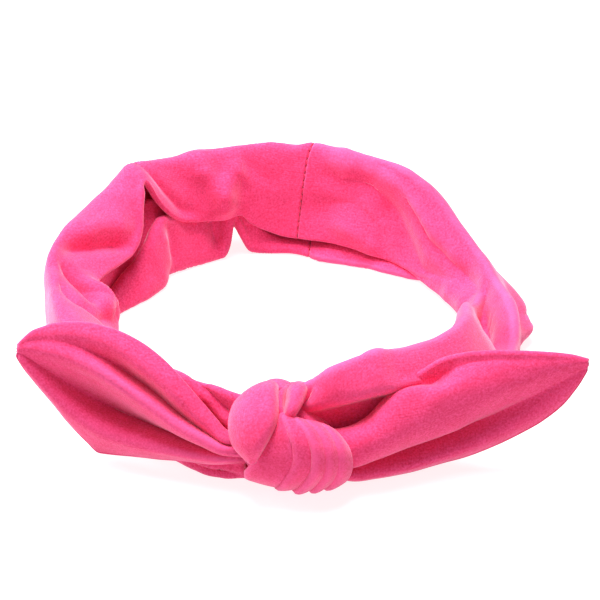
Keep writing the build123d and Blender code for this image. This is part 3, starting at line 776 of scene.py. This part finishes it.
# ---- ears ------------------------------------------------------------------
def ear_grid(lines, root, tip):
    """The middle surface of an ear, as a grid from its root to its tip."""
    turn = np.linspace(0, math.pi / 2, EAR_COLUMNS)
    crowded = TIP_CROWDING * np.sin(turn) + (1 - TIP_CROWDING) * turn / (math.pi / 2)
    places = root + (tip - root) * crowded
    curves = []
    for keys in lines.values():
        depth, height = smooth_keys(keys, places).T
        curves.append(np.stack([places, depth, height], axis=1))
    return surface_through(curves, EAR_ROWS)[0]


def ear_normals(grid):
    """Normals that point to the back of an ear."""
    normal = grid_normals(grid)
    backward = np.sum(normal[:, EAR_ROWS // 2, 1])
    return normal if backward >= 0 else -normal


def make_ear(side, lines, root, tip):
    """Both layers of an ear, and the grid that they lie around. Its back layer laps over the lower edge."""
    grid = ear_grid(lines, root, tip)
    grid = crumple(grid, ear_normals(grid), EAR_WAVES)
    uv = np.stack([np.abs(grid[..., 0]), reach_across(grid)], axis=2)
    names = (f"{side}_ear_back_cloth", f"{side}_ear_front_cloth")
    return two_plies(names, grid, ear_normals(grid), uv, (1, 0), (0, RIM)), grid


def ear_seam(grid):
    """The path of an ear's seam thread, in the groove where the front layer meets the lapping one."""
    across = reach_across(grid)[EAR_COLUMNS // 2]
    row = int(np.argmin(np.abs(across - RIM - INSET / 2)))
    groove = grid - ear_normals(grid) * SEAM_LEVEL
    return groove[EAR_SEWN, row]


# ---- knot ------------------------------------------------------------------
def patch(control, steps):
    """A smooth grid through a coarse one: columns run along the strap, rows across it."""
    along = spline_rows(np.array(control, float), steps)
    return spline_rows(along.transpose(1, 0, 2), steps)


def knot_normals(grid):
    """Normals that point out of the knot."""
    normal = grid_normals(grid)
    outward = np.sum(normal * (grid - np.array(KNOT_CENTRE)))
    return normal if outward >= 0 else -normal


def pleat_heights(rows, steps):
    """How far each row of a pleated strap stands out: every pleat rises sharply and falls away gently."""
    reach = np.linspace(0, len(steps), rows)
    pleat = np.minimum(reach.astype(int), len(steps) - 1)
    place = reach - pleat
    rise = round_over(place, PLEAT_EDGE)
    fall = 1 - np.clip((place - PLEAT_EDGE) / (1 - PLEAT_EDGE), 0, 1) ** PLEAT_FALL
    return np.array(steps)[pleat] * rise * fall


def pleated(grid, steps):
    """A turn of the strap gathered into lengthwise pleats, which open from where it leaves the knot."""
    columns, rows = grid.shape[:2]
    heights = pleat_heights(rows, steps)
    opened = np.clip((np.linspace(0, 1, columns) - PLEAT_HIDDEN) / PLEAT_START, 0, 1)
    return grid + knot_normals(grid) * (opened[:, None] * heights[None, :])[..., None]


def wound_strap(name, control, steps, pleats):
    """One turn of the strap around the knot, as a closed cloth with rounded edges."""
    grid = patch(control, steps)
    if pleats:
        grid = pleated(grid, pleats)
    grid = crumple(grid, knot_normals(grid), KNOT_WAVES)
    half = knot_normals(grid) * WRAP / 2 * round_over(edge_distance(grid), WRAP_RIM)[..., None]
    uv = np.stack([reach_along(grid), reach_across(grid)], axis=2)
    upper = above_floor(grid + half, FLOOR_GAP)
    lower = above_floor(grid - half, FLOOR_GAP + WRAP / 2)
    return closed_cloth(name, upper, lower, uv)


def knot_core():
    """The rest of the strap inside the knot, as one lump under the outer turns."""
    points = []
    for height, half_width, half_depth in CORE_LEVELS:
        for side in range(CORE_SIDES):
            turn = 2 * math.pi * side / CORE_SIDES
            points.append((CORE_CENTRE[0] + half_width * math.cos(turn),
                           CORE_CENTRE[1] + half_depth * math.sin(turn), height))
    points = np.array(points)
    swell = value_noise(points, CORE_LUMP, 5) * CORE_UNEVEN
    points[:, :2] += (points[:, :2] - CORE_CENTRE) * swell[:, None]
    return link_mesh("knot_core_cloth", points, tube_faces(len(CORE_LEVELS), CORE_SIDES, 0), points[:, :2])


# ---- stitches --------------------------------------------------------------
def along_path(path, places):
    """Points at some distances along a path, and its length."""
    reach = np.concatenate([[0], np.cumsum(np.linalg.norm(np.diff(path, axis=0), axis=1))])
    return np.stack([np.interp(places, reach, path[:, axis]) for axis in range(3)], axis=1), reach[-1]


def one_stitch(path, start):
    """The points of a short piece of thread that starts some way along a path, and their cloth map."""
    part = np.linspace(0, 1, STITCH_RINGS)
    girth = THREAD / 2 * np.sqrt(np.clip(1 - (2 * part - 1) ** 4, THREAD_TIP, 1))
    centres, _ = along_path(path, start + STITCH * part)
    centres = above_floor(centres, FLOOR_GAP + THREAD / 2)
    way = centres[-1] - centres[0]
    way /= np.linalg.norm(way)
    side = np.cross(way, THREAD_ASIDE)
    side /= np.linalg.norm(side)
    up = np.cross(side, way)
    points, uv = [], []
    for centre, radius in zip(centres, girth):
        for number in range(THREAD_SIDES):
            turn = 2 * math.pi * number / THREAD_SIDES
            points.append(centre + radius * (side * math.cos(turn) + up * math.sin(turn)))
            uv.append((start + STITCH, turn))
    return points, uv


def stitch_line(name, paths):
    """Rows of short stitches of thread lying along some paths."""
    points, faces, uv = [], [], []
    for path in paths:
        _, length = along_path(path, [0])
        for number in range(int((length - STITCH_GAP) / (STITCH + STITCH_GAP))):
            faces += tube_faces(STITCH_RINGS, THREAD_SIDES, len(points))
            more_points, more_uv = one_stitch(path, STITCH_GAP + number * (STITCH + STITCH_GAP))
            points += more_points
            uv += more_uv
    return link_mesh(name, np.array(points), faces, np.array(uv))


# ---- materials -------------------------------------------------------------
def node(tree, kind, **settings):
    """A new shader node with some of its properties set."""
    new = tree.nodes.new(kind)
    for name, value in settings.items():
        setattr(new, name, value)
    return new


def noise_texture(tree, place, scale, detail, roughness):
    """Noise with `scale` features to a unit of the given coordinates."""
    noise = node(tree, "ShaderNodeTexNoise")
    noise.inputs["Scale"].default_value = scale
    noise.inputs["Detail"].default_value = detail
    noise.inputs["Roughness"].default_value = roughness
    tree.links.new(place, noise.inputs["Vector"])
    return noise.outputs["Fac"]


def ranged(tree, value, low, high, to_low=0, to_high=1):
    """The value's range from `low` to `high` stretched to another range."""
    spread = node(tree, "ShaderNodeMapRange")
    spread.inputs["From Min"].default_value = low
    spread.inputs["From Max"].default_value = high
    spread.inputs["To Min"].default_value = to_low
    spread.inputs["To Max"].default_value = to_high
    tree.links.new(value, spread.inputs["Value"])
    return spread.outputs["Result"]


def mixed(tree, share, first, second):
    """A colour between two, each a colour or another node's output."""
    mix = node(tree, "ShaderNodeMix", data_type="RGBA")
    tree.links.new(share, mix.inputs["Factor"])
    for socket, colour in ((mix.inputs["A"], first), (mix.inputs["B"], second)):
        if isinstance(colour, tuple):
            socket.default_value = colour
        else:
            tree.links.new(colour, socket)
    return mix.outputs["Result"]


def calculated(tree, operation, first, second):
    """One arithmetic step, on numbers or other nodes' outputs."""
    step = node(tree, "ShaderNodeMath", operation=operation)
    for socket, value in zip(step.inputs, (first, second)):
        if isinstance(value, (int, float)):
            socket.default_value = value
        else:
            tree.links.new(value, socket)
    return step.outputs[0]


def bumped(tree, height, strength, distance, under):
    """Normals raised by a height, over the normals of an earlier bump."""
    bump = node(tree, "ShaderNodeBump")
    bump.inputs["Strength"].default_value = strength
    bump.inputs["Distance"].default_value = distance
    tree.links.new(height, bump.inputs["Height"])
    if under is not None:
        tree.links.new(under, bump.inputs["Normal"])
    return bump.outputs["Normal"]


def ribbed(tree, place, spacing):
    """A wave along a coordinate that repeats at a spacing."""
    turns = calculated(tree, "MULTIPLY", place, 2 * math.pi / spacing)
    return calculated(tree, "SINE", turns, 0)


def knit_ribs(tree, cloth):
    """The knit's rows of stitches: fine ribs along the strap, crossed by finer courses."""
    across = node(tree, "ShaderNodeSeparateXYZ")
    tree.links.new(cloth, across.inputs[0])
    wales = ribbed(tree, across.outputs["Y"], WALE)
    courses = ribbed(tree, across.outputs["X"], COURSE)
    return calculated(tree, "ADD", wales, calculated(tree, "MULTIPLY", courses, COURSE_HEIGHT))


def knit_colour(tree, speckle, blotch):
    """Mottled hot pink, deeper in blotches, with a painted highlight that makes it paler on its ridges, where
    the nap's sheen catches the light.
    """
    ridge_pointiness = node(tree, "ShaderNodeNewGeometry").outputs["Pointiness"]
    deeper = calculated(tree, "MULTIPLY", ranged(tree, blotch, 0.45, 0.75), 0.35)
    # painted highlight: ridges, found by pointiness, are lightened toward a paler pink for the sheen of the
    # nap that catches the light there
    painted_sheen = calculated(tree, "MULTIPLY", ranged(tree, ridge_pointiness, 0.505, 0.56), 0.5)
    colour = mixed(tree, ranged(tree, speckle, 0.3, 0.7), DEEP_PINK, LIGHT_PINK)
    colour = mixed(tree, deeper, colour, DEEP_PINK)
    return mixed(tree, painted_sheen, colour, PAINTED_SHEEN_PINK)


def pink_knit():
    """Brushed stretch knit, with a short nap that lights up at grazing angles."""
    material = bpy.data.materials.new("pink_knit")
    material.use_nodes = True
    tree = material.node_tree
    shader = tree.nodes["Principled BSDF"]
    place = node(tree, "ShaderNodeTexCoord")
    speckle = noise_texture(tree, place.outputs["Object"], SPECKLE, 3, 0.65)
    blotch = noise_texture(tree, place.outputs["Object"], BLOTCH, 3, 0.6)
    normal = bumped(tree, blotch, 0.5, 0.0006, None)
    normal = bumped(tree, knit_ribs(tree, place.outputs["UV"]), 0.35, 0.00005, normal)
    normal = bumped(tree, speckle, 0.5, 0.00022, normal)
    tree.links.new(normal, shader.inputs["Normal"])
    tree.links.new(knit_colour(tree, speckle, blotch), shader.inputs["Base Color"])
    tree.links.new(ranged(tree, speckle, 0, 1, 0.82, 0.96), shader.inputs["Roughness"])
    shader.inputs["Specular IOR Level"].default_value = 0.25
    shader.inputs["Sheen Weight"].default_value = 0.55
    shader.inputs["Sheen Roughness"].default_value = 0.45
    shader.inputs["Sheen Tint"].default_value = SHEEN_PINK
    return material


def pink_thread():
    """Matching polyester thread: a little deeper and glossier than the knit, with a fine twist."""
    material = bpy.data.materials.new("pink_thread")
    material.use_nodes = True
    tree = material.node_tree
    shader = tree.nodes["Principled BSDF"]
    place = node(tree, "ShaderNodeTexCoord").outputs["Object"]
    fibre = noise_texture(tree, place, FIBRE, 2, 0.5)
    tree.links.new(mixed(tree, fibre, THREAD_DEEP, THREAD_LIGHT), shader.inputs["Base Color"])
    tree.links.new(bumped(tree, fibre, 0.5, 0.0001, None), shader.inputs["Normal"])
    shader.inputs["Roughness"].default_value = 0.55
    return material


MATERIALS = {"pink_knit": pink_knit(), "pink_thread": pink_thread()}


def finish_piece(piece, slot, *nodes):
    """Gives a piece its material, and hides the CAD nodes that it stands for."""
    piece.data.materials.append(MATERIALS[slot])
    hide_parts(*nodes)


def cloth_piece(piece, node_name):
    """A piece of cloth in the place of one CAD node."""
    finish_piece(piece, "pink_knit", node_name)


# ---- floor -----------------------------------------------------------------
def add_floor():
    """A plain white studio floor, which glows a little so that shadows stay soft and pale."""
    bpy.ops.mesh.primitive_plane_add(size=FLOOR_SIZE, location=(0, 0, 0))
    floor = bpy.context.object
    floor.name = "studio_floor"
    material = bpy.data.materials.new("studio_white")
    material.use_nodes = True
    shader = material.node_tree.nodes["Principled BSDF"]
    shader.inputs["Base Color"].default_value = FLOOR_GREY
    shader.inputs["Roughness"].default_value = 0.9
    shader.inputs["Emission Color"].default_value = WHITE
    shader.inputs["Emission Strength"].default_value = FLOOR_GLOW
    floor.data.materials.append(material)


add_floor()

# ---- the band and its seams ------------------------------------------------
band_grids = {}
for side, last in (("left", LEFT_END), ("right", RIGHT_END)):
    (outer, inner), grid = band_half(side, last)
    band_grids[side] = grid
    cloth_piece(outer, f"band_{side}_outer_ply")
    cloth_piece(inner, f"band_{side}_inner_ply")
    paths = [grid[BAND_SEWN, EDGE_ROW], grid[BAND_SEWN, -EDGE_ROW - 1]]
    edges = stitch_line(f"band_{side}_edge_stitches", paths)
    finish_piece(edges, "pink_thread", f"band_{side}_edge_thread")
    for piece in (outer, inner, edges):
        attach(piece, "band")

seam = band_grids["left"][0, SEAM_SEWN]
seam_out = band_normals(band_grids["left"])[0, SEAM_SEWN] * SEAM_LEVEL
back_seam = stitch_line("back_seam_stitches", [seam - seam_out, seam + seam_out])
finish_piece(back_seam, "pink_thread", "back_seam_thread")
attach(back_seam, "band")

# ---- the knot --------------------------------------------------------------
knot_pieces = []
for name, node_name, control, steps, pleats, flat in KNOT_TURNS:
    knot_pieces.append((wound_strap(name, control, steps, pleats), node_name, flat, "knot_core_cloth"))
knot_pieces.append((knot_core(), "knot_core", CORE_FLAT, "studio_floor"))
for piece, node_name, flat, rests_on in knot_pieces:
    cloth_piece(piece, node_name)
    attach(piece, "band")

# ---- the ears --------------------------------------------------------------
for side, lines, root, tip, bend_start, bend_end in EARS:
    (back, front), grid = make_ear(side, lines, root, tip)
    cloth_piece(back, f"{side}_ear_back_ply")
    cloth_piece(front, f"{side}_ear_front_ply")
    edges = stitch_line(f"{side}_ear_edge_stitches", [ear_seam(grid)])
    finish_piece(edges, "pink_thread", f"{side}_ear_edge_thread")
    for piece in (back, front, edges):
        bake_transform(piece)


# ---- light and camera ------------------------------------------------------
def add_world():
    """Even white light from all round."""
    world = bpy.data.worlds.new("studio")
    bpy.context.scene.world = world
    world.use_nodes = True
    background = world.node_tree.nodes["Background"]
    background.inputs["Color"].default_value = WHITE
    background.inputs["Strength"].default_value = SKY_LIGHT


def add_light(name, place, size, power):
    """A square soft light that points at the headband."""
    light = bpy.data.lights.new(name, "AREA")
    light.size = size
    light.energy = power
    lamp = bpy.data.objects.new(name, light)
    lamp.location = place
    lamp.rotation_mode = "QUATERNION"
    lamp.rotation_quaternion = (-Vector(place)).to_track_quat("-Z", "Y")
    bpy.context.scene.collection.objects.link(lamp)


def add_camera():
    """A camera in front of the knot, looking down at the ring."""
    elevation = math.radians(CAMERA_ELEVATION)
    back = Vector((0, -math.cos(elevation), math.sin(elevation)))
    data = bpy.data.cameras.new("camera")
    data.lens = CAMERA_LENS
    data.sensor_width = CAMERA_SENSOR
    data.clip_start = CAMERA_NEAR
    camera = bpy.data.objects.new("camera", data)
    camera.location = Vector(ring_to_frame(CAMERA_TARGET)) + back * CAMERA_DISTANCE
    camera.rotation_mode = "QUATERNION"
    camera.rotation_quaternion = (-back).to_track_quat("-Z", "Y")
    bpy.context.scene.collection.objects.link(camera)
    bpy.context.scene.camera = camera


add_world()
for name, place, size, power in LIGHTS:
    add_light(name, place, size, power)
add_camera()
bpy.context.scene.view_settings.view_transform = "Standard"
